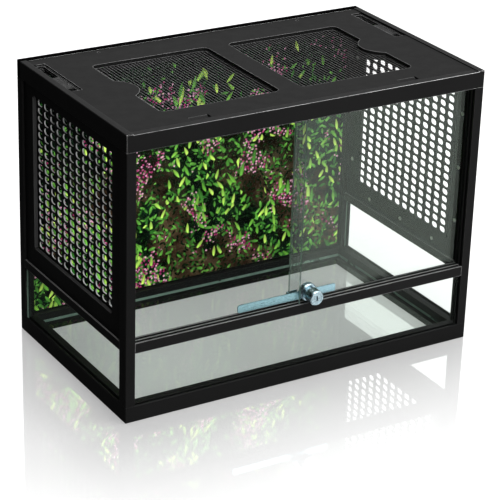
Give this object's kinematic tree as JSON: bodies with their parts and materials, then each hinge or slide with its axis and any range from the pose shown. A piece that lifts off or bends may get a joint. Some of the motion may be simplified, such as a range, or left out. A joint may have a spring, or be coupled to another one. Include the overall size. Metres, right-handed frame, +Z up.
{
  "type": "reptile terrarium",
  "caption": "Glass reptile terrarium with sliding front doors, ratchet lock, perforated side vents, cable inlets and a lift-off screen cover",
  "frame": {"origin": "middle of the whole footprint, with the lock, at the ground", "axes": "+X to the right along the front, +Y from the doors to the rear pane, +Z up"},
  "size_m": [0.52, 0.3192, 0.384],
  "materials": {
    "frame_plastic": "satin black moulded plastic",
    "vent_plastic": "satin black moulded plastic",
    "cover_plastic": "fine-textured dark grey moulded plastic",
    "shutter_plastic": "satin dark moulded plastic",
    "glass": "clear float glass, faint green tint",
    "screen_wire": "dark coated wire",
    "screw_steel": "plain steel",
    "lock_metal": "bright plated",
    "background_print": "printed film, foliage"
  },
  "bodies": {
    "enclosure": {"base_frame": "frame_plastic", "floor_glass": "glass", "front_post_left": "frame_plastic", "front_post_right": "frame_plastic", "rear_post_left": "frame_plastic", "rear_post_right": "frame_plastic", "top_frame": "frame_plastic", "upper_track": "frame_plastic", "lower_track": "frame_plastic", "side_rail_left": "frame_plastic", "side_rail_right": "frame_plastic", "front_lower_glass": "glass", "side_glass_left": "glass", "side_glass_right": "glass", "rear_glass": "glass", "background_sheet": "background_print", "vent_panel_left": "vent_plastic", "vent_panel_right": "vent_plastic", "vent_frame_left": "vent_plastic", "vent_frame_right": "vent_plastic", "vent_screws_left": "screw_steel", "vent_screws_right": "screw_steel", "inlet_left": "frame_plastic", "inlet_right": "frame_plastic"},
    "front_door_body": {"front_door": "glass", "lock_housing": "lock_metal"},
    "lock_plug_body": {"lock_plug": "lock_metal"},
    "rear_door_body": {"rear_door": "glass", "lock_strip": "lock_metal"},
    "cover_body": {"top_cover": "cover_plastic", "cover_clips": "cover_plastic", "screen_left": "screen_wire", "screen_right": "screen_wire", "screen_frame_left": "frame_plastic", "screen_frame_right": "frame_plastic", "screen_screws": "screw_steel"},
    "shutter_left_body": {"inlet_shutter_left": "shutter_plastic"},
    "shutter_right_body": {"inlet_shutter_right": "shutter_plastic"}
  },
  "joints": [
    {"name": "front_door_slide", "type": "slide", "parent": "enclosure", "child": "front_door_body", "axis": [1, 0, 0], "range_m": [0, 0.228]},
    {"name": "rear_door_slide", "type": "slide", "parent": "enclosure", "child": "rear_door_body", "axis": [1, 0, 0], "range_m": [-0.15, 0]},
    {"name": "lock_plug_turn", "type": "hinge", "parent": "front_door_body", "child": "lock_plug_body", "pos_m": [0.006, -0.15, 0.1215], "axis": [0, -1, 0], "range_deg": [0, 90]},
    {"name": "cover_lift", "type": "slide", "parent": "enclosure", "child": "cover_body", "axis": [0, 0, 1], "range_m": [0, 0.2]},
    {"name": "shutter_left_slide", "type": "slide", "parent": "enclosure", "child": "shutter_left_body", "axis": [0, 1, 0], "range_m": [-0.013, 0.044]},
    {"name": "shutter_right_slide", "type": "slide", "parent": "enclosure", "child": "shutter_right_body", "axis": [0, 1, 0], "range_m": [-0.013, 0.044]}
  ]
}
